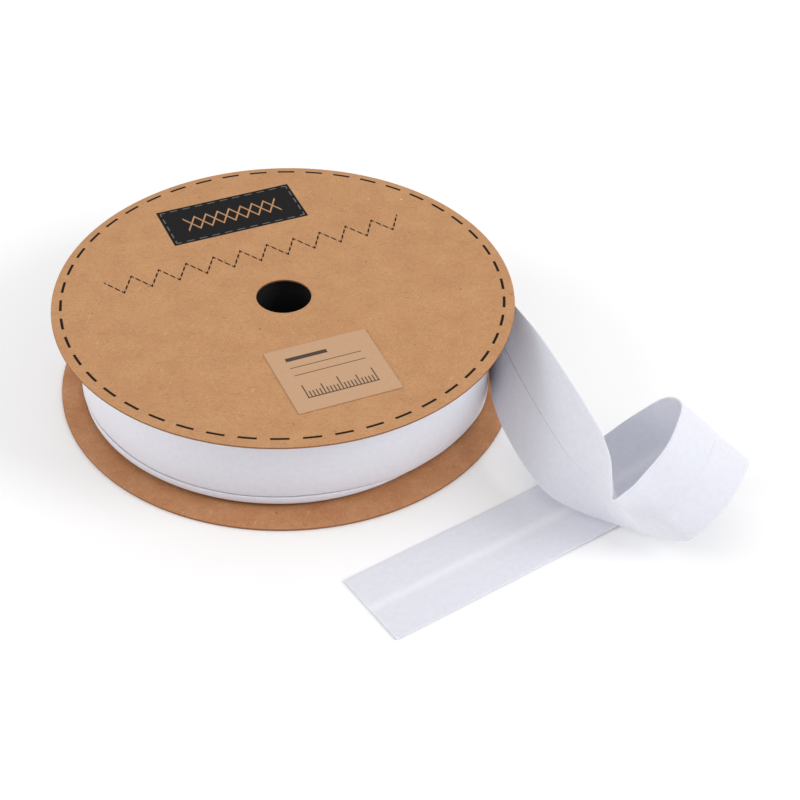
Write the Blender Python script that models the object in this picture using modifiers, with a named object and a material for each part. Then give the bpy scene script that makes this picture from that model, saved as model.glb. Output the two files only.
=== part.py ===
"""A card reel of white bias tape, lying flat, with its loose end looped on the table.

Metres, +Z up. The origin is on the table, in the middle of the whole part's footprint.
"""
import math

import bmesh
import bpy
from mathutils import Vector

MM = 0.001

# Reel
REEL_X = -30.5 * MM
REEL_Y = 19.3 * MM
CARD = 1.0 * MM
FLANGE_RADIUS = 65.0 * MM
HOLE_RADIUS = 7.75 * MM
INNER_WIDTH = 27.8 * MM
BOTTOM_SHIFT_X = 0.4 * MM
BOTTOM_SHIFT_Y = 0.4 * MM
GAP = 0.3 * MM
TOP_CARD_Z = CARD + INNER_WIDTH
DISC_STEPS = 112

# Core inside the winding
CORE_RADIUS = 22.0 * MM
CORE_BORE = 9.5 * MM
CORE_STEPS = 48

# Winding
ROLL_SHIFT_X = -0.6 * MM
ROLL_SHIFT_Y = 0.5 * MM
ROLL_RADIUS = 58.4 * MM
ROLL_BORE = 23.2 * MM
ROLL_TOP = 28.4 * MM
ROLL_STEPS = 112
LEDGE_RISE = 2.4 * MM
LEDGE_DEPTH = 1.1 * MM
LEDGE_LEAST = 0.12 * MM
LEDGE_FRONT = math.radians(-92)
ROLL_SLACK = 0.25 * MM

# Tape
TAPE_WIDTH = 25.0 * MM
TAPE_THICKNESS = 1.0 * MM
TAPE_STEP = 3.0 * MM
TAPE_CLEAR = 0.45 * MM
LAST_TURN_FROM = 62
LAST_TURN_TO = 18
LAST_TURN_STEP = 11
LAST_TURN_Z = 15.4

# Sticker on the top card
PRINT_TURN = math.radians(23.5)
STICKER_WIDTH = 30.0 * MM
STICKER_HEIGHT = 27.7 * MM
STICKER_THICKNESS = 0.3 * MM
STICKER_OUT = 36.3 * MM

# The loose tape's middle line from the roll to the cut end, in mm from the reel's axis and the
# table. lean_to is the bearing that the upper edge leans to, and lean its angle from upright.
LOOSE_TAPE = (
    # section             x      y      z     lean_to  lean
    ("leaves the roll",   56.2,  17.4,  15.4,    22,    0),
    ("past the rim",      60.2,   5.8,  15.0,    22,    8),
    ("past the rim",      63.5,  -5.9,  15.2,    21,   22),
    ("leans outward",     66.5, -17.7,  16.3,    20,   33),
    ("leans outward",     70.0, -29.7,  17.0,    20,   38),
    ("leans outward",     74.1, -41.6,  17.2,    21,   38),
    ("rights itself",     79.0, -52.7,  16.7,    20,   29),
    ("over the flat end", 85.7, -61.2,  15.4,   -41,   10),
    ("over the flat end", 88.8, -65.3,  14.6,  -109,   16),
    ("turns left",        91.4, -69.5,  13.9,  -132,   28),
    ("turns left",        94.0, -72.8,  14.0,  -146,   37),
    ("front of the loop", 99.6, -74.7,  17.1,  -173,   38),
    ("front of the loop", 103.0, -73.8, 19.5,   176,   39),
    ("loop rises",        109.3, -68.8, 24.1,   169,   42),
    ("loop rises",        113.9, -60.9, 26.8,   167,   47),
    ("top of the loop",   116.2, -52.1, 26.3,   167,   51),
    ("comes back down",   113.2, -43.6, 19.7,   157,   50),
    ("comes back down",   106.0, -41.4, 11.0,   137,   54),
    ("lies down",         96.4, -44.4,   5.5,   125,   69),
    ("under the run",     86.1, -50.0,   2.2,   124,   84),
    ("flat",              76.1, -57.1,   0.9,   126,   90),
    ("flat",              51.2, -75.4,   0.8,   126,   90),
    ("cut end",           26.1, -93.6,   0.8,   124,   90),
)

# Half of the tape's section, in half widths and thicknesses: a smooth face, and a face whose
# two folded-in flaps meet in a shallow channel on the middle line.
CHANNEL = 0.06
SMOOTH_FACE = ((-1.0, 0.5), (-0.5, 0.5), (0.0, 0.5), (0.5, 0.5), (1.0, 0.5))
FLAP_FACE = ((1.0, -0.5), (0.5, -0.5), (CHANNEL, -0.5), (0.0, -0.2), (-CHANNEL, -0.5),
             (-0.5, -0.5), (-1.0, -0.5))


def clear_scene():
    for thing in list(bpy.data.objects):
        bpy.data.objects.remove(thing, do_unlink=True)


def new_collection(name):
    group = bpy.data.collections.new(name)
    bpy.context.scene.collection.children.link(group)
    return group


def material(name, colour, roughness, metallic=0.0):
    """A Principled material; the colour is linear."""
    mat = bpy.data.materials.new(name)
    mat.use_nodes = True
    shader = mat.node_tree.nodes["Principled BSDF"]
    shader.inputs["Base Color"].default_value = (*colour, 1.0)
    shader.inputs["Roughness"].default_value = roughness
    shader.inputs["Metallic"].default_value = metallic
    return mat


def add_object(group, name, mesh, mat, place=(0.0, 0.0, 0.0), turn=0.0):
    part = bpy.data.objects.new(name, mesh)
    mesh.materials.append(mat)
    part.location = place
    part.rotation_euler.z = turn
    group.objects.link(part)
    return part


def ring_profile(inner, outer, low, high):
    """A rectangle beside the axis, running down its outer side."""
    return ((inner, high), (outer, high), (outer, low), (inner, low))


def turned(group, name, profile, steps, mat, place):
    """A closed profile in the XZ plane, turned once round Z."""
    mesh = bpy.data.meshes.new(name)
    count = len(profile)
    mesh.from_pydata([(r, 0.0, z) for r, z in profile],
                     [(i, (i + 1) % count) for i in range(count)], [])
    part = add_object(group, name, mesh, mat, place)
    screw = part.modifiers.new("turn", "SCREW")
    screw.steps = steps
    screw.render_steps = steps
    screw.use_merge_vertices = True
    screw.merge_threshold = 0.00001
    screw.use_smooth_shade = False
    return part


def flange(group, name, z, mat, place):
    """One die-cut card disc with its spindle hole."""
    x, y = place
    return turned(group, name, ring_profile(HOLE_RADIUS, FLANGE_RADIUS, 0.0, CARD),
                  DISC_STEPS, mat, (x, y, z))


def core(group, name, mat):
    """The dark tube that shows through the hole and holds the two cards apart."""
    profile = ring_profile(CORE_BORE, CORE_RADIUS, CARD + GAP, TOP_CARD_Z - GAP)
    return turned(group, name, profile, CORE_STEPS, mat, (REEL_X, REEL_Y, 0.0))


def ledge_share(azimuth):
    """How far the last turns ride up: 1 at the front, fading to 0 at the sides."""
    return max(0.0, math.cos(azimuth - LEDGE_FRONT)) ** 0.7


def roll_radius(azimuth):
    """The winding's outer radius, a little slack where the hand-wound turns sag in."""
    wave = math.sin(3 * azimuth + 0.8) + 0.5 * math.sin(5 * azimuth)
    return ROLL_RADIUS - ROLL_SLACK * (1.5 + wave) / 3


def wound_roll(group, name, mat):
    """The winding: one ring whose last turns sit higher at the front and leave a ledge."""
    low = CARD + GAP
    ledge = low + LEDGE_RISE
    under = ROLL_RADIUS - LEDGE_DEPTH
    profile = ((ROLL_BORE, ROLL_TOP), (ROLL_RADIUS, ROLL_TOP), (ROLL_RADIUS, ledge),
               (under, ledge), (under, low), (ROLL_BORE, low))
    place = (REEL_X + ROLL_SHIFT_X, REEL_Y + ROLL_SHIFT_Y, 0.0)
    blank = turned(group, name + "_blank", profile, ROLL_STEPS, mat, place)
    shape = blank.evaluated_get(bpy.context.evaluated_depsgraph_get())
    mesh = bpy.data.meshes.new_from_object(shape)
    mesh.materials.clear()
    near = 0.01 * MM
    for vertex in mesh.vertices:
        x, y, z = vertex.co
        radius = math.hypot(x, y)
        if radius < under - near:
            continue
        azimuth = math.atan2(y, x)
        share = ledge_share(azimuth)
        outer = roll_radius(azimuth)
        if radius < ROLL_RADIUS - near:
            outer -= max(LEDGE_DEPTH * share, LEDGE_LEAST)
        if abs(z - ledge) < near:
            z = low + max(LEDGE_RISE * share, LEDGE_LEAST)
        vertex.co = (outer * math.cos(azimuth), outer * math.sin(azimuth), z)
    bpy.data.objects.remove(blank, do_unlink=True)
    return add_object(group, name, mesh, mat, place)


def leaning(bearing, lean):
    """The unit direction from the tape's lower edge to its upper edge."""
    bearing, lean = math.radians(bearing), math.radians(lean)
    return Vector((math.sin(lean) * math.cos(bearing), math.sin(lean) * math.sin(bearing),
                   math.cos(lean)))


def last_turn():
    """The end of the last turn, still on the roll, from behind it to where it comes away."""
    radius = (ROLL_RADIUS + TAPE_CLEAR + TAPE_THICKNESS / 2) / MM
    rows = []
    for azimuth in range(LAST_TURN_FROM, LAST_TURN_TO, -LAST_TURN_STEP):
        angle = math.radians(azimuth)
        rows.append(("on the roll", ROLL_SHIFT_X / MM + radius * math.cos(angle),
                     ROLL_SHIFT_Y / MM + radius * math.sin(angle), LAST_TURN_Z, azimuth, 0))
    return rows


def smooth(a, b, c, d, t):
    """Catmull-Rom between b and c."""
    return 0.5 * (2 * b + (c - a) * t + (2 * a - 5 * b + 4 * c - d) * t * t
                  + (3 * b - a - 3 * c + d) * t * t * t)


def tape_route():
    """Middle points and edge directions about TAPE_STEP apart, from the table's rows."""
    rows = last_turn() + list(LOOSE_TAPE)
    points = [Vector(row[1:4]) * MM for row in rows]
    leans = [leaning(*row[4:6]) for row in rows]
    route = []
    last = len(rows) - 1
    for i in range(last):
        before, after = max(i - 1, 0), min(i + 2, last)
        steps = max(1, round((points[i + 1] - points[i]).length / TAPE_STEP))
        for step in range(steps):
            t = step / steps
            point = smooth(points[before], points[i], points[i + 1], points[after], t)
            lean = smooth(leans[before], leans[i], leans[i + 1], leans[after], t)
            route.append((point, lean.normalized()))
    route.append((points[last], leans[last]))
    return route


def loose_tape(group, name, mat):
    """The tape as one closed sheet: its section carried along the route."""
    route = tape_route()
    outline = SMOOTH_FACE + FLAP_FACE
    mesh = bpy.data.meshes.new(name)
    sheet = bmesh.new()
    rings = []
    for i, (point, up) in enumerate(route):
        ahead = route[min(i + 1, len(route) - 1)][0] - route[max(i - 1, 0)][0]
        outward = up.cross(ahead).normalized()
        rings.append([sheet.verts.new(point + up * across * TAPE_WIDTH / 2
                                      + outward * through * TAPE_THICKNESS)
                      for across, through in outline])
    count = len(outline)
    for ring, following in zip(rings, rings[1:]):
        for k in range(count):
            after = (k + 1) % count
            sheet.faces.new((ring[k], ring[after], following[after], following[k]))
    sheet.faces.new(rings[0])
    sheet.faces.new(rings[-1])
    bmesh.ops.recalc_face_normals(sheet, faces=sheet.faces)
    sheet.to_mesh(mesh)
    sheet.free()
    return add_object(group, name, mesh, mat, (REEL_X, REEL_Y, 0.0))


def sticker(group, name, mat):
    """A square paper label, stuck on the top card between the hole and the rim."""
    mesh = bpy.data.meshes.new(name)
    plate = bmesh.new()
    bmesh.ops.create_cube(plate, size=1.0)
    bmesh.ops.scale(plate, vec=(STICKER_WIDTH, STICKER_HEIGHT, STICKER_THICKNESS),
                    verts=plate.verts)
    plate.to_mesh(mesh)
    plate.free()
    x = REEL_X + STICKER_OUT * math.sin(PRINT_TURN)
    y = REEL_Y - STICKER_OUT * math.cos(PRINT_TURN)
    z = TOP_CARD_Z + CARD + GAP + STICKER_THICKNESS / 2
    return add_object(group, name, mesh, mat, (x, y, z), PRINT_TURN)


clear_scene()
reel = new_collection("bias_tape_roll")
kraft = material("kraft_card", (0.55, 0.32, 0.16), 0.85)
black = material("dark_core", (0.012, 0.009, 0.008), 0.8)
cloth = material("white_bias_tape", (0.78, 0.78, 0.82), 0.9)
paper = material("kraft_sticker", (0.58, 0.36, 0.21), 0.6)

flange(reel, "flange_bottom", 0.0, kraft, (REEL_X + BOTTOM_SHIFT_X, REEL_Y + BOTTOM_SHIFT_Y))
flange(reel, "flange_top", TOP_CARD_Z, kraft, (REEL_X, REEL_Y))
core(reel, "reel_core", black)
wound_roll(reel, "roll_wound", cloth)
loose_tape(reel, "tail_tape", cloth)
sticker(reel, "label_sticker", paper)
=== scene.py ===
"""A card reel of white single-fold bias tape, lying flat, with its loose end looped on the table."""
import math

import bmesh
import bpy
from mathutils import Matrix, Vector, noise


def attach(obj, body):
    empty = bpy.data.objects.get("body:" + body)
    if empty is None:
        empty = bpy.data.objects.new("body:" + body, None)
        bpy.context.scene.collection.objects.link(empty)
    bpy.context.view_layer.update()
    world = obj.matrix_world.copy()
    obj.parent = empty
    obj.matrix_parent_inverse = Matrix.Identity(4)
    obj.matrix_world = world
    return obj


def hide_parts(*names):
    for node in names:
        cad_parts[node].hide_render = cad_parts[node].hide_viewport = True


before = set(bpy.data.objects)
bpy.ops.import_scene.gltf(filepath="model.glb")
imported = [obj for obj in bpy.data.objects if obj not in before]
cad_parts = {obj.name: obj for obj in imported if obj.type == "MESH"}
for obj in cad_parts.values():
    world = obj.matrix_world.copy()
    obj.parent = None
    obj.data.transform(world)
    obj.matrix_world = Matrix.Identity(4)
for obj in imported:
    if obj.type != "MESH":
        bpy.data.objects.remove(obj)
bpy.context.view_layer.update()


# Camera, floor and light. The camera looks down at the reel from the side of the cut end. Large
# soft lamps stand round a seamless white table, the strongest one at the right.
MM = 0.001
CAMERA_PLACE = Vector((2.6, -453.4, 385.4)) * MM
CAMERA_DOWN = math.radians(39.743)
CAMERA_ROLL = math.radians(0.808)
CAMERA_LENS = 94.5
FLOOR_SIZE = 6.0
FLOOR_Z = -0.15 * MM
SKY = 0.83
LAMPS = (
    # name          x      y      z     across  watts
    ("right_side",  0.97, -0.30,  0.70, 0.60,    5.0),
    ("left_side",  -1.10,  0.00,  0.60, 0.70,    3.4),
)
AIM = Vector((0.0, 0.0, 0.015))


def linear(code):
    """An sRGB hex code as linear colour with alpha."""
    parts = [int(code[i:i + 2], 16) / 255 for i in (1, 3, 5)]
    return (*[c / 12.92 if c <= 0.04045 else ((c + 0.055) / 1.055) ** 2.4 for c in parts], 1.0)


def new_material(name):
    mat = bpy.data.materials.new(name)
    mat.use_nodes = True
    return mat, mat.node_tree, mat.node_tree.nodes["Principled BSDF"]


bpy.ops.object.select_all(action="DESELECT")
bpy.ops.object.camera_add()
camera = bpy.context.object
camera.matrix_world = (Matrix.Translation(CAMERA_PLACE)
                       @ Matrix.Rotation(math.radians(90) - CAMERA_DOWN, 4, "X")
                       @ Matrix.Rotation(CAMERA_ROLL, 4, "Z"))
camera.data.lens = CAMERA_LENS
camera.data.sensor_width = 36
camera.data.clip_start = 0.01
bpy.context.scene.camera = camera

bpy.ops.mesh.primitive_plane_add(size=FLOOR_SIZE, location=(0, 0, FLOOR_Z))
floor = bpy.context.object
floor.name = "floor"
# White table sheet: smooth matte laminate, so it only takes soft contact shadows.
sheet_white, _, shader = new_material("white_table_sheet")
shader.inputs["Base Color"].default_value = linear("#FBFBFB")
shader.inputs["Roughness"].default_value = 0.9
floor.data.materials.append(sheet_white)

for name, x, y, z, across, watts in LAMPS:
    bpy.ops.object.light_add(type="AREA", location=(x, y, z))
    lamp = bpy.context.object
    lamp.name = name
    lamp.data.shape = "DISK"
    lamp.data.size = across
    lamp.data.energy = watts
    lamp.rotation_euler = (Vector((x, y, z)) - AIM).to_track_quat("Z", "Y").to_euler()

world = bpy.data.worlds.new("studio")
bpy.context.scene.world = world
world.use_nodes = True
world.node_tree.nodes["Background"].inputs["Color"].default_value = (1.0, 1.0, 1.0, 1.0)
world.node_tree.nodes["Background"].inputs["Strength"].default_value = SKY
bpy.context.scene.view_settings.view_transform = "Standard"


# The two cards. Round blanks die cut from 0.6 mm brown kraft board, each with a spindle hole. The
# top one is printed: a ring of stitch dashes, a dark panel with a woven motif, and a row of
# zigzag stitches. The board's cut edge is darker and shows its pressed layers.
REEL = Vector((-30.5, 19.3, 0.0)) * MM
LOWER_SHIFT = Vector((0.4, 0.4, 0.0)) * MM
CARD = 0.6 * MM
CARD_RADIUS = 65.0 * MM
HOLE_RADIUS = 7.75 * MM
TOP_CARD_Z = 29.2 * MM
CARD_SIDES = 224
CARD_RINGS = (CARD_RADIUS - 2.5 * MM, CARD_RADIUS * 0.62, HOLE_RADIUS + 1.5 * MM, HOLE_RADIUS)
RANK_STEP = 0.01 * MM
CARD_BEVEL = 0.14 * MM
BEVEL_STEPS = 2
SMOOTH_UNDER = math.radians(28)
OBJECT_PLACE = 3  # the Texture Coordinate node's output for a place on the object itself

# Sizes in the patterns are in mm. The kraft board has cloudy pulp, grain, and short curly fibres
# that lie every way, with a few dark or pale specks.
CLOUD = 8.0
CLOUD_SPAN = (0.34, 0.66)
GRAIN = 0.45
GRAIN_RELIEF = 0.35
FLECK_SPAN = (0.56, 0.78)
FLECK_SHARE = 0.5
FLECK_TINT = "#8C5F3C"
STRAND_SPAN = (0.61, 0.75)
STRAND_RELIEF = 0.3
FIBRES = (
    # turn  length  width  tint       share
    (12,    2.0,    0.32,  "#94653D", 0.48),
    (71,    1.8,    0.36,  "#E0BA91", 0.34),
    (128,   2.4,    0.32,  "#94653D", 0.42),
    (163,   1.5,    0.30,  "#A0603A", 0.38),
)
SPECK_CELL = 7.0
SPECK = 0.42
SPECK_SHARE = 0.7
SPECK_TINTS = ("#6E4329", "#EAD3B4")
PALE_SPECKS_OVER = 0.78

PRINT_TURN = math.radians(23.5)
INK = "#130A05"
INK_EDGE = 0.07
INK_WEAR = (0.3, 0.8, 1.0, 0.98)
RING_CENTRE = (-0.2, 0.65)
DASH_TURN = math.radians(-1.75)
DASH_RADIUS = 62.2
DASH_COUNT = 46
DASH_SIZE = (5.05, 0.78)
PANEL_INK = "#0D1014"
PANEL_CENTRE = (-0.05, 43.4)
PANEL_HALF = (20.7, 8.95)
PANEL_RIM = 0.95
PANEL_THREAD = "#7C7E7A"
PANEL_THREAD_SHARE = 0.75
RIM_DASHES = (3.9, 2.3, 0.3)
MOTIF_PERIOD = 7.2
MOTIF_RISE = 3.1
MOTIF_LINE = 0.46
MOTIF_REACH = 14.4
ROW_Y = 21.7
ROW_REACH = 45.0
ROW_RISE = 3.4
ROW_PERIOD = 8.2
ROW_LINE = 0.5
ROW_STITCHES = 6
STITCH_SHARE = 0.74


def add(tree, kind, feeds=(), **settings):
    """Adds one node with its settings and links, and gives back its outputs. feeds holds values or
    other nodes' outputs, in the order of the inputs or by their names."""
    node = tree.nodes.new("ShaderNode" + kind)
    for field, value in settings.items():
        setattr(node, field, value)
    sockets = [socket for socket in node.inputs if socket.enabled]
    if isinstance(feeds, dict):
        sockets = [next(socket for socket in sockets if socket.name == name) for name in feeds]
        feeds = feeds.values()
    for socket, value in zip(sockets, feeds):
        if isinstance(value, bpy.types.NodeSocket):
            tree.links.new(value, socket)
        else:
            socket.default_value = value
    return [socket for socket in node.outputs if socket.enabled]


def place_in_mm(tree, centre, turn=0.0):
    """The place on the piece in mm, from a centre given in metres and turned about the upright."""
    here = add(tree, "TexCoord")[OBJECT_PLACE]
    return add(tree, "Mapping", {"Vector": here, "Location": centre, "Rotation": (0.0, 0.0, turn),
                                 "Scale": (MM, MM, MM)}, vector_type="TEXTURE")[0]


def printed(tree, distance, edge=INK_EDGE):
    """1 inside a shape and 0 outside, from the distance to its edge."""
    return add(tree, "MapRange", (distance, edge, -edge))[0]


def off_box(tree, place, centre, half):
    """Distance outside a rectangle, negative inside."""
    offset = add(tree, "VectorMath", (place, (*centre, 0.0)), operation="SUBTRACT")[0]
    offset = add(tree, "VectorMath", (offset,), operation="ABSOLUTE")[0]
    beyond = add(tree, "VectorMath", (offset, (*half, 0.0)), operation="SUBTRACT")[0]
    x, y, _ = add(tree, "SeparateXYZ", (beyond,))
    return add(tree, "Math", (x, y), operation="MAXIMUM")[0]


def past_reach(tree, offset, reach):
    """How far an offset to either side goes past the reach, negative within it."""
    size = add(tree, "Math", (offset,), operation="ABSOLUTE")[0]
    return add(tree, "Math", (size, reach), operation="SUBTRACT")[0]


def off_dashes(tree, along, across, pitch, dash, width, reach):
    """Distance outside a row of dashes, one at each multiple of the pitch and none past the reach."""
    folded = add(tree, "Math", (along, pitch / 2, -pitch / 2), operation="WRAP")[0]
    spread = add(tree, "CombineXYZ", (folded, across))[0]
    row = off_box(tree, spread, (0.0, 0.0), (dash / 2, width / 2))
    return add(tree, "Math", (row, past_reach(tree, along, reach)), operation="MAXIMUM")[0]


def off_zigzag(tree, along, across, period, rise):
    """How far to one side of a zigzag line a place lies."""
    ramp = add(tree, "Math", (along, period / 2), operation="PINGPONG")[0]
    height = add(tree, "Math", (ramp, 4 * rise / period, -rise), operation="MULTIPLY_ADD")[0]
    off = add(tree, "Math", (across, height), operation="SUBTRACT")[0]
    return add(tree, "Math", (off, math.cos(math.atan(4 * rise / period))), operation="MULTIPLY")[0]


def kraft_surface(tree, shader, place, pale, deep):
    """Colour and grain of uncoated board, with its roughness and relief on the shader."""
    cloud = add(tree, "TexNoise", {"Vector": place, "Scale": 1 / CLOUD, "Detail": 4.0, "Roughness": 0.62})[0]
    cloud = add(tree, "MapRange", (cloud, *CLOUD_SPAN))[0]
    colour = add(tree, "Mix", (cloud, linear(deep), linear(pale)), data_type="RGBA")[0]
    grain = add(tree, "TexNoise", {"Vector": place, "Scale": 1 / GRAIN, "Detail": 2.0, "Roughness": 0.7})[0]
    fleck = add(tree, "MapRange", (grain, *FLECK_SPAN, 0.0, FLECK_SHARE))[0]
    colour = add(tree, "Mix", (fleck, colour, linear(FLECK_TINT)), data_type="RGBA")[0]
    relief = add(tree, "Math", (grain, GRAIN_RELIEF), operation="MULTIPLY")[0]
    for number, (turn, length, width, tint, share) in enumerate(FIBRES):
        lie = add(tree, "Mapping", {"Vector": place, "Rotation": (0.0, 0.0, math.radians(turn)),
                                    "Location": (13.0 * number, 7.0 * number, 0.0),
                                    "Scale": (length, width, 1.0)}, vector_type="TEXTURE")[0]
        fibre = add(tree, "TexNoise", {"Vector": lie, "Scale": 1.0, "Detail": 1.0, "Distortion": 1.2})[0]
        strand = add(tree, "MapRange", (fibre, *STRAND_SPAN))[0]
        shown = add(tree, "Math", (strand, share), operation="MULTIPLY")[0]
        colour = add(tree, "Mix", (shown, colour, linear(tint)), data_type="RGBA")[0]
        relief = add(tree, "Math", (strand, STRAND_RELIEF, relief), operation="MULTIPLY_ADD")[0]
    far, chance, _ = add(tree, "TexVoronoi", {"Vector": place, "Scale": 1 / SPECK_CELL})
    rim = SPECK / SPECK_CELL
    speck = add(tree, "MapRange", (far, rim, 0.4 * rim, 0.0, SPECK_SHARE))[0]
    pale_one = add(tree, "Math", (chance, PALE_SPECKS_OVER), operation="GREATER_THAN")[0]
    tint = add(tree, "Mix", (pale_one, *map(linear, SPECK_TINTS)), data_type="RGBA")[0]
    colour = add(tree, "Mix", (speck, colour, tint), data_type="RGBA")[0]
    bump = add(tree, "Bump", {"Height": relief, "Distance": 0.06 * MM, "Strength": 0.7})[0]
    tree.links.new(bump, shader.inputs["Normal"])
    shader.inputs["Roughness"].default_value = 0.86
    shader.inputs["Specular IOR Level"].default_value = 0.2
    return colour, grain


# Uncoated kraft board: matte and fibrous, its fibres lying every way.
plain_kraft, tree, shader = new_material("kraft_board_plain")
place = place_in_mm(tree, REEL + Vector((0.031, 0.011, 0.0)))
colour, _ = kraft_surface(tree, shader, place, "#C18D66", "#B37C54")
tree.links.new(colour, shader.inputs["Base Color"])

# The same board printed in brown-black ink that soaks in, so the print is as matte as the board
# and lets a little of its grain through.
printed_kraft, tree, shader = new_material("kraft_board_printed")
place = place_in_mm(tree, REEL)
colour, grain = kraft_surface(tree, shader, place, "#C19167", "#B98960")
flat = add(tree, "VectorMath", (place, (1.0, 1.0, 0.0)), operation="MULTIPLY")[0]
spun = add(tree, "Mapping", {"Vector": flat, "Location": (*RING_CENTRE, 0.0),
                             "Rotation": (0.0, 0.0, DASH_TURN)}, vector_type="TEXTURE")[0]
x, y, _ = add(tree, "SeparateXYZ", (spun,))
angle = add(tree, "Math", (y, x), operation="ARCTAN2")[0]
arc = add(tree, "Math", (angle, DASH_RADIUS), operation="MULTIPLY")[0]
radius = add(tree, "VectorMath", (spun,), operation="LENGTH")[0]
outward = add(tree, "Math", (radius, DASH_RADIUS), operation="SUBTRACT")[0]
round_rim = 2 * math.pi * DASH_RADIUS
ring = off_dashes(tree, arc, outward, round_rim / DASH_COUNT, *DASH_SIZE, round_rim)

turned = place_in_mm(tree, REEL, PRINT_TURN)
x, y, _ = add(tree, "SeparateXYZ", (turned,))
over = add(tree, "Math", (y, ROW_Y), operation="SUBTRACT")[0]
off_row = off_zigzag(tree, x, over, ROW_PERIOD, ROW_RISE)
stitch = ROW_PERIOD / ROW_STITCHES
row = off_dashes(tree, x, off_row, stitch, STITCH_SHARE * stitch, ROW_LINE, ROW_REACH)

panel = off_box(tree, turned, PANEL_CENTRE, PANEL_HALF)
over = add(tree, "Math", (y, PANEL_CENTRE[1]), operation="SUBTRACT")[0]
for shift in (0.0, MOTIF_PERIOD / 2):
    along = add(tree, "Math", (x, shift), operation="ADD")[0]
    off_line = off_zigzag(tree, along, over, MOTIF_PERIOD, MOTIF_RISE)
    strand = add(tree, "Math", (off_line,), operation="ABSOLUTE")[0]
    outside = add(tree, "Math", (MOTIF_LINE / 2, strand), operation="SUBTRACT")[0]
    within = add(tree, "Math", (past_reach(tree, x, MOTIF_REACH), -1.0), operation="MULTIPLY")[0]
    inside = add(tree, "Math", (outside, within), operation="MINIMUM")[0]
    panel = add(tree, "Math", (panel, inside), operation="MAXIMUM")[0]
rims = []
for along, across, half_along, half_across in ((x, over, *PANEL_HALF), (over, x, *PANEL_HALF[::-1])):
    off_rim = past_reach(tree, across, half_across - PANEL_RIM)
    rims.append(off_dashes(tree, along, off_rim, *RIM_DASHES, half_along - PANEL_RIM))
threads = add(tree, "Math", rims, operation="MINIMUM")[0]

worn = add(tree, "MapRange", (grain, *INK_WEAR))[0]
prints = (
    # shape   ink           share
    (ring,    INK,          1.0),
    (row,     INK,          1.0),
    (panel,   PANEL_INK,    1.0),
    (threads, PANEL_THREAD, PANEL_THREAD_SHARE),
)
for shape, tint, share in prints:
    cover = add(tree, "Math", (printed(tree, shape), worn), operation="MULTIPLY")[0]
    cover = add(tree, "Math", (cover, share), operation="MULTIPLY")[0]
    colour = add(tree, "Mix", (cover, colour, linear(tint)), data_type="RGBA")[0]
tree.links.new(colour, shader.inputs["Base Color"])

# The die-cut edge: pressed layers, darker and rougher than the face.
cut_kraft, tree, shader = new_material("kraft_board_cut_edge")
place = place_in_mm(tree, REEL)
layers = add(tree, "Mapping", {"Vector": place, "Scale": (3.0, 3.0, 0.12)}, vector_type="TEXTURE")[0]
layer = add(tree, "TexNoise", {"Vector": layers, "Scale": 1.0, "Detail": 3.0})[0]
colour = add(tree, "Mix", (layer, linear("#5F3B25"), linear("#A87350")), data_type="RGBA")[0]
tree.links.new(colour, shader.inputs["Base Color"])
shader.inputs["Roughness"].default_value = 0.92
bump = add(tree, "Bump", {"Height": layer, "Distance": 0.08 * MM, "Strength": 0.8})[0]
tree.links.new(bump, shader.inputs["Normal"])


def thicken(piece, name, thickness, offset):
    """Gives an open sheet its thickness: offset 1 is along its normals, -1 against them, 0 both ways."""
    solid = piece.modifiers.new(name, "SOLIDIFY")
    solid.thickness = thickness
    solid.offset = offset


def soften(piece, width):
    soft = piece.modifiers.new("soft_edge", "BEVEL")
    soft.width = width
    soft.segments = BEVEL_STEPS
    soft.limit_method = "ANGLE"


def finish_modifiers(piece):
    for modifier in list(piece.modifiers):
        bpy.ops.object.modifier_apply(modifier=modifier.name)


def from_hole_to_rim(part):
    """The rank of a corner, edge or face on its disc: ring by ring outward, by angle in a ring."""
    corners = part.verts if hasattr(part, "verts") else [part]
    middle = sum((corner.co for corner in corners), Vector()) / len(corners)
    return round(middle.length / RANK_STEP) * 10 + math.atan2(middle.y, middle.x)


def card(name, place, face):
    """One die-cut disc: a circle drawn in to the hole, given the board's thickness and soft edges.
    Its parts are put in a fixed order, so that each run builds the same mesh."""
    bpy.ops.object.select_all(action="DESELECT")
    bpy.ops.mesh.primitive_circle_add(vertices=CARD_SIDES, radius=CARD_RADIUS, location=place)
    disc = bpy.context.object
    disc.name = name
    bpy.ops.object.mode_set(mode="EDIT")
    for reach in CARD_RINGS:
        bpy.ops.mesh.extrude_edges_move()
        now = max(v.co.length for v in bmesh.from_edit_mesh(disc.data).verts if v.select)
        bpy.ops.transform.resize(value=(reach / now, reach / now, 1), center_override=place)
    bpy.ops.mesh.select_all(action="SELECT")
    bpy.ops.mesh.normals_make_consistent(inside=False)
    rings = bmesh.from_edit_mesh(disc.data)
    for parts in (rings.verts, rings.edges, rings.faces):
        parts.sort(key=from_hole_to_rim)
    bpy.ops.object.mode_set(mode="OBJECT")
    if disc.data.polygons[0].normal.z < 0:
        disc.data.flip_normals()
    thicken(disc, "board", CARD, 1.0)
    soften(disc, CARD_BEVEL)
    finish_modifiers(disc)
    disc.data.materials.append(face)
    disc.data.materials.append(cut_kraft)
    for polygon in disc.data.polygons:
        polygon.material_index = 1 if abs(polygon.normal.z) < 0.5 else 0
    bpy.ops.object.shade_smooth_by_angle(angle=SMOOTH_UNDER)
    bpy.ops.object.transform_apply(location=True)
    return disc


lower_card = card("card_lower", REEL + LOWER_SHIFT, plain_kraft)
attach(lower_card, "root")
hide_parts("flange_bottom")
upper_card = card("card_upper", REEL + Vector((0, 0, TOP_CARD_Z)), printed_kraft)
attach(upper_card, "root")
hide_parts("flange_top")


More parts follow.
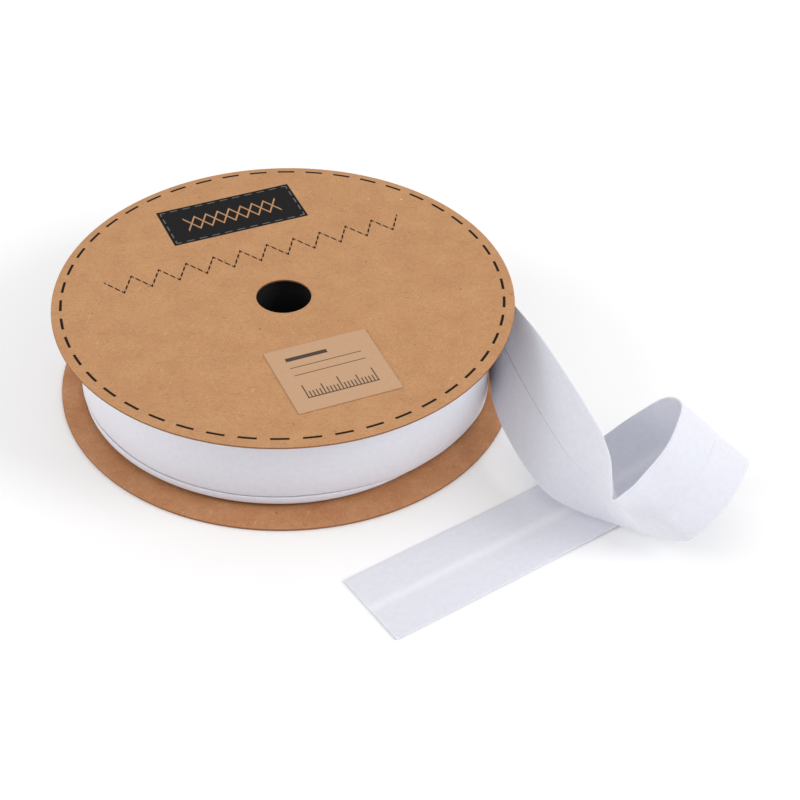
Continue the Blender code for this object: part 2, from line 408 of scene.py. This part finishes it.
# The core. A spiral-wound paper tube that the tape is wound on, coloured near-black as painted
# shade, so its bore shows as darkness through the hole in the top card.
CORE_RADIUS = 22.0 * MM
CORE_BORE = 9.5 * MM
CORE_LOW = 1.3 * MM
CORE_HIGH = 28.5 * MM
CORE_SIDES = 96
CORE_EDGE = 0.4 * MM
STRIP = 14.0
SEAM = 0.4
bpy.ops.object.select_all(action="DESELECT")
core_foot = REEL + Vector((0, 0, CORE_LOW))
bpy.ops.mesh.primitive_circle_add(vertices=CORE_SIDES, radius=CORE_RADIUS, location=core_foot)
core = bpy.context.object
core.name = "core_tube"
bpy.ops.object.mode_set(mode="EDIT")
bpy.ops.mesh.extrude_edges_move(TRANSFORM_OT_translate={"value": (0, 0, CORE_HIGH - CORE_LOW)})
bpy.ops.mesh.select_all(action="SELECT")
bpy.ops.mesh.normals_make_consistent(inside=False)
bpy.ops.object.mode_set(mode="OBJECT")
thicken(core, "wall", CORE_RADIUS - CORE_BORE, -1.0)
soften(core, CORE_EDGE)
finish_modifiers(core)
bpy.ops.object.shade_smooth_by_angle(angle=SMOOTH_UNDER)
bpy.ops.object.transform_apply(location=True)
# Paper tube: matte, its spiral strips meeting in faint slanting seams. Its near-black colour is
# painted shade, for the deep shade inside the hole.
tube_painted_shade, tree, shader = new_material("paper_tube_painted_shade")
place = place_in_mm(tree, REEL)
x, y, z = add(tree, "SeparateXYZ", (place,))
turn = add(tree, "Math", (y, x), operation="ARCTAN2")[0]
climb = add(tree, "Math", (turn, STRIP / (2 * math.pi), z), operation="MULTIPLY_ADD")[0]
off_seam = add(tree, "Math", (climb, STRIP / 2, -STRIP / 2), operation="WRAP")[0]
off_seam = add(tree, "Math", (off_seam,), operation="ABSOLUTE")[0]
seam = add(tree, "MapRange", (off_seam, 0.0, SEAM))[0]
pulp = add(tree, "TexNoise", {"Vector": place, "Scale": 1.7, "Detail": 3.0})[0]
# Painted shade: the near-black colour makes the lit bore as dark as the deep shade inside the hole.
colour = add(tree, "Mix", (pulp, linear("#080505"), linear("#120D0B")), data_type="RGBA")[0]
tree.links.new(colour, shader.inputs["Base Color"])
shader.inputs["Roughness"].default_value = 0.9
height = add(tree, "Math", (pulp, 0.3, seam), operation="MULTIPLY_ADD")[0]
bump = add(tree, "Bump", {"Height": height, "Distance": 0.15 * MM, "Strength": 0.8})[0]
tree.links.new(bump, shader.inputs["Normal"])
core.data.materials.append(tube_painted_shade)
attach(core, "root")
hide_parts("reel_core")


# The tape: white poly-cotton cut on the bias 50 mm wide, its two raw edges folded to the middle
# of the wrong side and pressed, so it is 25 mm wide. It comes out of the winding, makes the
# whole last turn round it, leaves at the side, loops over itself and lies flat to its cut end.
ROLL = REEL + Vector((-0.6, 0.5, 0.0)) * MM
TAPE_HALF = 12.5
FOLD = 0.14
CLOTH = 0.2 * MM
CLOTH_SMOOTH_UNDER = math.radians(60)
# The last turn. Its bearings are degrees round the reel, lengths and heights are in mm.
TURN_FROM = 392
TURN_TO = 18
TURN_STEP = -11
TURN_RADIUS = 58.0
LEAVING_RADIUS = 59.35
LEAVING_FROM = 150
LEAVING_BY = 38
LEDGE_RIGHT = (-36, -80)
LEDGE_LEFT = (-184, -142)
LEDGE_RISE = 2.6
LEDGE_OUT = 1.3
LOW_EDGE = 1.4
START_RISE = 1.7
START_SWEEP = 48
LEAVING_Z = 15.4
TURN_SPACING = 2.4
LOOSE_SPACING = 1.0
TABLE_CLEAR = 0.11
# The folded cloth across: how many steps its flat face, each fold and each flap are drawn in.
FLAT_STEPS = 12
FOLD_STEPS = 6
FLAP_STEPS = 10
# A flap hinges up between these places in the cut width. The cloth ripples along and across.
FLAP_HINGE = (13.5, 24.5)
FLAP_WAVE = 11
FLAP_UNEVEN = 0.5
RIPPLE = 0.14
RIPPLE_ALONG = 9
RIPPLE_ACROSS = 14
# The middle line past the roll, in mm from the reel's axis and the table. lean_to is the bearing
# that the upper edge leans to, and lean its angle from upright.
LOOSE_TAPE = (
    # section             x      y      z     lean_to  lean
    ("leaves the roll",   56.2,  17.4,  15.4,    22,    0),
    ("past the rim",      60.2,   5.8,  15.0,    22,    8),
    ("past the rim",      63.5,  -5.9,  15.2,    21,   22),
    ("leans outward",     66.5, -17.7,  16.3,    20,   33),
    ("leans outward",     70.0, -29.7,  17.0,    20,   38),
    ("leans outward",     74.1, -41.6,  17.2,    21,   38),
    ("rights itself",     79.0, -52.7,  16.7,    20,   29),
    ("over the flat end", 85.7, -61.2,  15.4,   -41,   10),
    ("over the flat end", 88.8, -65.3,  14.6,  -109,   16),
    ("turns left",        91.4, -69.5,  13.9,  -132,   28),
    ("turns left",        94.0, -72.8,  14.0,  -146,   37),
    ("front of the loop", 99.6, -74.7,  17.1,  -173,   38),
    ("front of the loop", 103.0, -73.8, 19.5,   176,   39),
    ("loop rises",        109.3, -68.8, 24.1,   169,   42),
    ("loop rises",        113.9, -60.9, 26.8,   167,   47),
    ("top of the loop",   116.2, -52.1, 26.3,   167,   51),
    ("comes back down",   113.2, -43.6, 19.7,   157,   50),
    ("comes back down",   106.0, -41.4, 11.0,   137,   54),
    ("lies down",         96.4, -44.4,   5.3,   125,   69),
    ("under the run",     86.1, -50.0,   1.8,   124,   84),
    ("flat",              76.1, -57.1,   0.3,   126,   90),
    ("flat",              51.2, -75.4,   0.25,  126,   90),
    ("cut end",           26.1, -93.6,   0.25,  124,   90),
)
# How far the hand-wound roll stands out of round, in mm.
OUT_OF_ROUND = (
    # azimuth  swell
    (-180,     0.0),
    (-85,     -1.0),
    (-44,     -1.85),
    (-8,       1.0),
    (20,       0.0),
    (180,      0.0),
)
# How the two raw edges lie on the wrong side, by length past the place where the tape leaves the
# roll: half the gap between them, and how far each stands off the cloth under it.
FLAPS = (
    # past    gap   lower  upper
    (-400.0,  0.04,  0.00,  0.00),
    (-10.0,   0.05,  0.02,  0.01),
    (14.0,    0.08,  0.20,  0.02),
    (38.0,    0.06,  0.08,  0.03),
    (62.0,    0.04,  0.02,  0.03),
    (80.0,    0.01,  0.00,  0.01),
    (130.0,   0.01,  0.00,  0.00),
    (900.0,   0.01,  0.00,  0.00),
)
# Soft ridges and troughs pressed into the loose tape by handling, in mm: length past the place
# where it leaves the roll, place across from the middle, half length, half width, and height.
CREASES = (
    # past    across  long   wide   height
    (22.0,     6.0,   12.0,   3.2,   0.35),
    (44.0,    -5.5,   14.0,   4.0,  -0.45),
    (60.0,     5.0,   11.0,   4.5,  -0.30),
    (90.0,    -3.0,    6.0,   4.5,  -0.40),
    (104.0,    4.5,    8.0,   4.0,   0.40),
    (140.0,   -4.0,   10.0,   5.0,   0.30),
    (212.0,    1.0,   12.0,   3.5,   0.22),
)


def ease(low, high, value):
    t = min(max((value - low) / (high - low), 0.0), 1.0)
    return t * t * (3 - 2 * t)


def leaning(bearing, lean):
    """The unit direction from the tape's lower edge to its upper edge."""
    bearing, lean = math.radians(bearing), math.radians(lean)
    return Vector((math.sin(lean) * math.cos(bearing), math.sin(lean) * math.sin(bearing), math.cos(lean)))


def ledge_share(azimuth):
    """How far the last turn rides up: 1 at the front, fading to 0 at the sides."""
    bearing = azimuth % 360 - 360
    return ease(*LEDGE_RIGHT, bearing) * ease(*LEDGE_LEFT, bearing)


def eased_row(table, place):
    """The values of a table at a place between two of its rows."""
    for row, following in zip(table, table[1:]):
        if place <= following[0]:
            t = ease(row[0], following[0], place)
            return [a + (b - a) * t for a, b in zip(row[1:], following[1:])]


def roll_swell(azimuth):
    """How far the wound roll stands out of round: drawn in at the front, slack at the right."""
    return eased_row(OUT_OF_ROUND, (azimuth + 180) % 360 - 180)[0]


def turn_row(azimuth):
    """The last turn at one azimuth: it starts tucked up behind its own far end, rides up at the
    front and loosens before it leaves."""
    loose = 1 - ease(LEAVING_BY, LEAVING_FROM, azimuth)
    radius = TURN_RADIUS + (LEAVING_RADIUS - TURN_RADIUS) * loose + roll_swell(azimuth)
    radius -= LEDGE_OUT * ledge_share(azimuth)
    middle = LOW_EDGE + TAPE_HALF + LEDGE_RISE * ledge_share(azimuth)
    middle += (LEAVING_Z - LOW_EDGE - TAPE_HALF) * loose
    middle += START_RISE * ease(TURN_FROM - START_SWEEP, TURN_FROM, azimuth)
    angle = math.radians(azimuth)
    offset = (ROLL - REEL) / MM
    return ("on the roll", offset.x + radius * math.cos(angle), offset.y + radius * math.sin(angle),
            middle, azimuth, 0)


def smooth(a, b, c, d, t):
    """Catmull-Rom between b and c."""
    return 0.5 * (2 * b + (c - a) * t + (2 * a - 5 * b + 4 * c - d) * t * t
                  + (3 * b - a - 3 * c + d) * t * t * t)


def tape_route():
    """Middle point, edge direction and length so far of every section, in mm from the reel's axis,
    and the length at which the tape leaves the roll."""
    rows = [turn_row(azimuth) for azimuth in range(TURN_FROM, TURN_TO, TURN_STEP)] + list(LOOSE_TAPE)
    points = [Vector(row[1:4]) for row in rows]
    leans = [leaning(*row[4:6]) for row in rows]
    last = len(rows) - 1
    route = []
    along = 0.0
    leaving = 0.0
    for i in range(last + 1):
        before, after, further = max(i - 1, 0), min(i + 1, last), min(i + 2, last)
        spacing = TURN_SPACING if rows[after][0] == "on the roll" else LOOSE_SPACING
        steps = max(1, round((points[after] - points[i]).length / spacing))
        for step in range(steps):
            t = step / steps
            point = smooth(points[before], points[i], points[after], points[further], t)
            if route:
                along += (point - route[-1][0]).length
            lean = smooth(leans[before], leans[i], leans[after], leans[further], t).normalized()
            route.append((point, lean, along))
            if step == 0 and rows[i][0] == "leaves the roll":
                leaving = along
    return route, leaving


def cut_positions(gap):
    """Where the cloth's 50 mm cut width is sampled, in mm from its middle, with places across
    the folded tape and through it."""
    flat = TAPE_HALF - FOLD
    places = []
    for i in range(FLAT_STEPS):
        places.append((flat * i / FLAT_STEPS, flat * i / FLAT_STEPS, FOLD))
    for i in range(FOLD_STEPS + 1):
        turn = math.pi * i / FOLD_STEPS
        places.append((flat + FOLD * turn, flat + FOLD * math.sin(turn), FOLD * math.cos(turn)))
    flap = flat - gap
    for i in range(1, FLAP_STEPS + 1):
        inward = flap * i / FLAP_STEPS
        places.append((flat + FOLD * math.pi + inward, flat - inward, -FOLD))
    return [(-s, -across, through) for s, across, through in reversed(places[1:])] + places


def tape_sheet(route, leaving):
    """The folded cloth as one open sheet, carried along the route, with its cut position as UV."""
    mesh = bpy.data.meshes.new("tape")
    sheet = bmesh.new()
    layer = sheet.loops.layers.uv.new("cut")
    rows = []
    for i, (point, up, along) in enumerate(route):
        ahead = route[min(i + 1, len(route) - 1)][0] - route[max(i - 1, 0)][0]
        outward = up.cross(ahead).normalized()
        row = []
        gap, lower, upper = eased_row(FLAPS, along - leaving)
        for cut, across, through in cut_positions(gap):
            flap = ease(*FLAP_HINGE, abs(cut))
            ripple = noise.noise(Vector((along / RIPPLE_ALONG, across / RIPPLE_ACROSS, 2.0))) * RIPPLE
            for past, beside, long, wide, rise in CREASES:
                off = ((along - leaving - past) / long) ** 2 + ((across - beside) / wide) ** 2
                ripple += rise * math.exp(-off)
            wave = noise.noise(Vector((along / FLAP_WAVE, 5.0, 0.0)))
            stand = (upper if cut > 0 else lower) * (1 + FLAP_UNEVEN * wave)
            spot = point + up * across + outward * (through + ripple - flap * stand)
            spot.z = max(spot.z, TABLE_CLEAR)
            row.append((sheet.verts.new(REEL + spot * MM), (along * MM, cut * MM)))
        rows.append(row)
    for row, following in zip(rows, rows[1:]):
        for k in range(len(row) - 1):
            corners = (row[k], row[k + 1], following[k + 1], following[k])
            face = sheet.faces.new([corner[0] for corner in corners])
            face.smooth = True
            for loop, corner in zip(face.loops, corners):
                loop[layer].uv = corner[1]
    sheet.to_mesh(mesh)
    sheet.free()
    return mesh


route, leaving = tape_route()
tape = bpy.data.objects.new("bias_tape", tape_sheet(route, leaving))
bpy.context.collection.objects.link(tape)
bpy.ops.object.select_all(action="DESELECT")
tape.select_set(True)
bpy.context.view_layer.objects.active = tape
thicken(tape, "cloth", CLOTH, 0.0)
finish_modifiers(tape)
bpy.ops.object.shade_smooth_by_angle(angle=CLOTH_SMOOTH_UNDER)

# White plain weave of polyester and cotton, cut on the bias and pressed: matte with a faint
# sheen, its threads at 45 degrees to the edges. A little light spreads inside the cloth. Past the
# roll, a paler line along the middle of the outer face is painted light: it stands in for light
# through the single layer over the gap where the two raw edges meet on the wrong side, and for the
# highlight on the pressed ridge there. Threads are really 0.3 mm apart, drawn at 0.5.
THREAD = 0.5
MIDLINE_LIGHT_FROM = -10
MIDLINE_LIGHT_BY = 30
MIDLINE_LIGHT_SPAN = (0.2, 2.2, 0.26, 0.0)
white_weave, tree, shader = new_material("white_poly_cotton_bias")
uv = add(tree, "UVMap", uv_map="cut")[0]
cut = add(tree, "VectorMath", {"Vector": uv, "Scale": 1 / MM}, operation="SCALE")[0]
along, across, _ = add(tree, "SeparateXYZ", (cut,))
weave = []
for operation in ("ADD", "SUBTRACT"):
    slant = add(tree, "Math", (along, across), operation=operation)[0]
    phase = add(tree, "Math", (slant, math.pi / (THREAD * math.sqrt(2))), operation="MULTIPLY")[0]
    weave.append(add(tree, "Math", (phase,), operation="SINE")[0])
threads = add(tree, "Math", weave, operation="MULTIPLY")[0]
slub = add(tree, "TexNoise", {"Vector": cut, "Scale": 0.62, "Detail": 3.0, "Roughness": 0.6})[0]
tone = add(tree, "Math", (threads, 0.09, slub), operation="MULTIPLY_ADD")[0]
tone = add(tree, "MapRange", (tone, 0.2, 0.8))[0]
colour = add(tree, "Mix", (tone, linear("#D9DAE3"), linear("#E1E2EA")), data_type="RGBA")[0]
# Painted light: a paler strip along the middle of the outer face past the roll, for light through the single
# layer and the highlight on the pressed ridge.
off_roll = add(tree, "MapRange", (along, leaving + MIDLINE_LIGHT_FROM, leaving + MIDLINE_LIGHT_BY))[0]
middle = add(tree, "Math", (across,), operation="ABSOLUTE")[0]
midline_light = add(tree, "MapRange", (middle, *MIDLINE_LIGHT_SPAN))[0]
midline_light = add(tree, "Math", (midline_light, off_roll), operation="MULTIPLY")[0]
colour = add(tree, "Mix", (midline_light, colour, linear("#FDFDFF")), data_type="RGBA")[0]
tree.links.new(colour, shader.inputs["Base Color"])
slubs = add(tree, "Math", (slub, 0.6), operation="MULTIPLY")[0]
height = add(tree, "Math", (threads, 0.5, slubs), operation="MULTIPLY_ADD")[0]
bump = add(tree, "Bump", {"Height": height, "Distance": 0.025 * MM, "Strength": 0.36})[0]
tree.links.new(bump, shader.inputs["Normal"])
shader.inputs["Roughness"].default_value = 0.9
shader.inputs["Specular IOR Level"].default_value = 0.2
shader.inputs["Sheen Weight"].default_value = 0.12
shader.inputs["Sheen Roughness"].default_value = 0.5
shader.inputs["Subsurface Weight"].default_value = 1.0
shader.inputs["Subsurface Radius"].default_value = (1.0, 1.0, 1.0)
shader.inputs["Subsurface Scale"].default_value = 0.22 * MM
tape.data.materials.append(white_weave)
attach(tape, "root")
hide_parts("tail_tape")


# The winding under the last turn: the same tape, some eighty turns wound by hand, so the folded
# edges wander up and down by a millimetre or two. The outer turns are modelled one by one. At the
# front the turns below the last one's raised edge stand out, with a groove where they meet it.
WOUND_RADIUS = 57.45
WOUND_BORE = 23.2
WOUND_STEPS = 216
WOUND_MIDDLE = 14.0
INNER_LOW = 1.6
INNER_HIGH = 26.9
INNER_SHELF = 6
TURN_THICK = 0.55
OUTER_TURNS = 12
FOLDED_WIDTH = 25.0
LOW_TURNS = 1.6
LOW_LIFT = 0.4
WANDER = 0.2
STAGGER = 0.5
# How far the wall starts in from each folded edge, the least height of the band, how far the
# groove runs up behind the ledge, how far the band stands proud and how uneven the radius is.
WALL_IN = 0.28
BAND_LEAST = 0.5
GROOVE_UP = 1.0
WALL_STEPS = 4
PROUD = 0.1
UNEVEN = 0.04
# The outer face from the lower edge over the ledge and down into the groove behind it: share of the
# ledge's height, and of how far it stands out.
BAND = (
    # up     out
    (0.00,   1.00),
    (0.35,   1.00),
    (0.65,   0.98),
    (0.84,   0.95),
    (0.95,   0.87),
    (0.94,   0.77),
    (0.88,   0.70),
    (0.84,   0.55),
    (0.88,   0.20),
    (0.97,   0.00),
)
# A turn's folded edge, rounded over from its outer face to its inner face.
HALF_TURN = TURN_THICK / 2
ROUNDED = (
    # inward            in from the edge
    (0.05,              0.20),
    (0.3 * HALF_TURN,   0.06),
    (HALF_TURN,         0.00),
    (1.75 * HALF_TURN,  0.07),
    (2 * HALF_TURN,     0.35),
)


def turn_low(number, azimuth):
    """Height of one turn's lower folded edge, in mm."""
    angle = math.radians(azimuth)
    wander = math.sin(angle + 2.4 * number) + 0.6 * math.sin(2 * angle + 4.1 * number)
    stagger = STAGGER * abs(math.sin(1.7 * number)) if number else 0.0
    return LOW_TURNS + LOW_LIFT * ledge_share(azimuth) ** 2 + WANDER * wander + stagger


def wound_wall(outer, out, azimuth):
    """The outer turns' face from lower edge to upper edge, as radius and height; out is how far it
    stands out below the ledge."""
    low = turn_low(0, azimuth) + WALL_IN
    share = ledge_share(azimuth)
    ledge = max(LOW_EDGE + LEDGE_RISE * share, low + BAND_LEAST)
    wall = []
    for k, (up, part) in enumerate(BAND):
        plain = k / len(BAND)
        wall.append((outer + out * part, low + (ledge - low) * (plain + (up - plain) * share)))
    behind = ledge + GROOVE_UP
    top = turn_low(0, azimuth) + FOLDED_WIDTH - WALL_IN
    return wall + [(outer, behind + (top - behind) * k / WALL_STEPS) for k in range(WALL_STEPS)]


def winding():
    mesh = bpy.data.meshes.new("winding")
    turns = bmesh.new()
    layer = turns.loops.layers.uv.new("cut")
    columns = []
    shelf = WOUND_BORE + INNER_SHELF
    for step in range(WOUND_STEPS):
        azimuth = 360 * step / WOUND_STEPS
        angle = math.radians(azimuth)
        share = ledge_share(azimuth)
        wave = math.sin(3 * angle + 0.8) + 0.5 * math.sin(5 * angle)
        out = (LEDGE_OUT + PROUD) * share
        outer = WOUND_RADIUS - UNEVEN * (1.5 + wave) + roll_swell(azimuth) - LEDGE_OUT * share
        top = []
        low = []
        for number in range(OUTER_TURNS):
            edge = turn_low(number, azimuth)
            radius = outer - TURN_THICK * number
            low += [(radius + out - inward, edge + rise) for inward, rise in ROUNDED]
            top += [(radius - inward, edge + FOLDED_WIDTH - rise) for inward, rise in ROUNDED]
        wall = wound_wall(outer, out, azimuth)
        profile = [(WOUND_BORE, INNER_HIGH), (shelf, INNER_HIGH)] + top[::-1] + wall[::-1] + low
        profile += [(shelf, INNER_LOW), (WOUND_BORE, INNER_LOW)]
        spots = []
        for radius, height in profile:
            place = Vector((radius * math.cos(angle), radius * math.sin(angle), height)) * MM
            spots.append(turns.verts.new(ROLL + place))
        columns.append((spots, profile))
    for step in range(WOUND_STEPS):
        spots, profile = columns[step]
        following = columns[(step + 1) % WOUND_STEPS][0]
        count = len(spots)
        for k in range(count):
            after = (k + 1) % count
            face = turns.faces.new((spots[k], spots[after], following[after], following[k]))
            face.smooth = True
            for loop, share, row in zip(face.loops, (0, 0, 1, 1), (k, after, after, k)):
                radius, height = profile[row]
                arc = 2 * math.pi * (step + share) / WOUND_STEPS * WOUND_RADIUS
                loop[layer].uv = (arc * MM, (height - WOUND_MIDDLE + (WOUND_RADIUS - radius)) * MM)
    bmesh.ops.recalc_face_normals(turns, faces=turns.faces)
    turns.to_mesh(mesh)
    turns.free()
    return mesh


wound = bpy.data.objects.new("winding", winding())
bpy.context.collection.objects.link(wound)
wound.data.materials.append(white_weave)
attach(wound, "root")
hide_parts("roll_wound")


# The sticker: a smooth kraft paper label with a printed gauge and ruled lines, stuck on the top
# card between the hole and the rim.
STICKER_CENTRE = Vector((0.4, -36.3, 0.0)) * MM
STICKER_HALF = (15.0, 13.85)
STICKER_CORNER = 0.5 * MM
STICKER_LOW = 29.82 * MM
STICKER_THICK = 0.16 * MM
STICKER_INK = "#1D1511"
STICKER_INK_SHARE = 0.92
STICKER_RIM = (-0.28, -0.05, 0.0, 0.45)
STICKER_RIM_TINT = "#8F6543"
GAUGE_REACH = 10.3
GAUGE = (
    # every  height
    (1.0,    2.6),
    (5.0,    4.4),
    (10.0,   5.6),
)
GAUGE_LOW = -8.4
GAUGE_TICK = 0.34
BARS = (
    # middle x, y    half length  half thickness
    (0.0,    -8.4,   10.3,        0.20),
    (-4.3,    8.6,   6.0,         0.75),
    (0.0,     4.9,   10.3,        0.14),
    (0.0,     1.6,   10.3,        0.14),
)
sticker_place = REEL + Matrix.Rotation(PRINT_TURN, 4, "Z") @ STICKER_CENTRE
bpy.ops.object.select_all(action="DESELECT")
bpy.ops.mesh.primitive_plane_add(size=1.0, location=(sticker_place.x, sticker_place.y, STICKER_LOW))
label = bpy.context.object
label.name = "paper_sticker"
label.scale = (2 * STICKER_HALF[0] * MM, 2 * STICKER_HALF[1] * MM, 1.0)
label.rotation_euler.z = PRINT_TURN
bpy.ops.object.transform_apply(location=False, rotation=True, scale=True)
bpy.ops.object.mode_set(mode="EDIT")
bpy.ops.mesh.select_all(action="SELECT")
bpy.ops.mesh.bevel(offset=STICKER_CORNER, segments=4, affect="VERTICES")
bpy.ops.object.mode_set(mode="OBJECT")
thicken(label, "paper", STICKER_THICK, 1.0)
finish_modifiers(label)
bpy.ops.object.transform_apply(location=True)
# Smooth machine-finished kraft label paper with a low satin, paler and pinker than the board.
label_paper, tree, shader = new_material("kraft_label_paper")
place = place_in_mm(tree, sticker_place, PRINT_TURN)
x, y, _ = add(tree, "SeparateXYZ", (place,))
pulp = add(tree, "TexNoise", {"Vector": place, "Scale": 0.9, "Detail": 4.0, "Roughness": 0.7})[0]
colour = add(tree, "Mix", (pulp, linear("#B88F6E"), linear("#C6A07C")), data_type="RGBA")[0]
marks = []
for every, height in GAUGE:
    over = add(tree, "Math", (y, GAUGE_LOW + height / 2), operation="SUBTRACT")[0]
    marks.append(off_dashes(tree, x, over, every, GAUGE_TICK, height, GAUGE_REACH))
for bar_x, bar_y, half, thick in BARS:
    marks.append(off_box(tree, place, (bar_x, bar_y), (half, thick)))
shape = marks[0]
for mark in marks[1:]:
    shape = add(tree, "Math", (shape, mark), operation="MINIMUM")[0]
cover = add(tree, "Math", (printed(tree, shape), STICKER_INK_SHARE), operation="MULTIPLY")[0]
colour = add(tree, "Mix", (cover, colour, linear(STICKER_INK)), data_type="RGBA")[0]
rim = off_box(tree, place, (0.0, 0.0), STICKER_HALF)
rim = add(tree, "MapRange", (rim, *STICKER_RIM))[0]
colour = add(tree, "Mix", (rim, colour, linear(STICKER_RIM_TINT)), data_type="RGBA")[0]
tree.links.new(colour, shader.inputs["Base Color"])
shader.inputs["Roughness"].default_value = 0.5
shader.inputs["Specular IOR Level"].default_value = 0.35
bump = add(tree, "Bump", {"Height": pulp, "Distance": 0.02 * MM, "Strength": 0.5})[0]
tree.links.new(bump, shader.inputs["Normal"])
label.data.materials.append(label_paper)
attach(label, "root")
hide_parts("label_sticker")
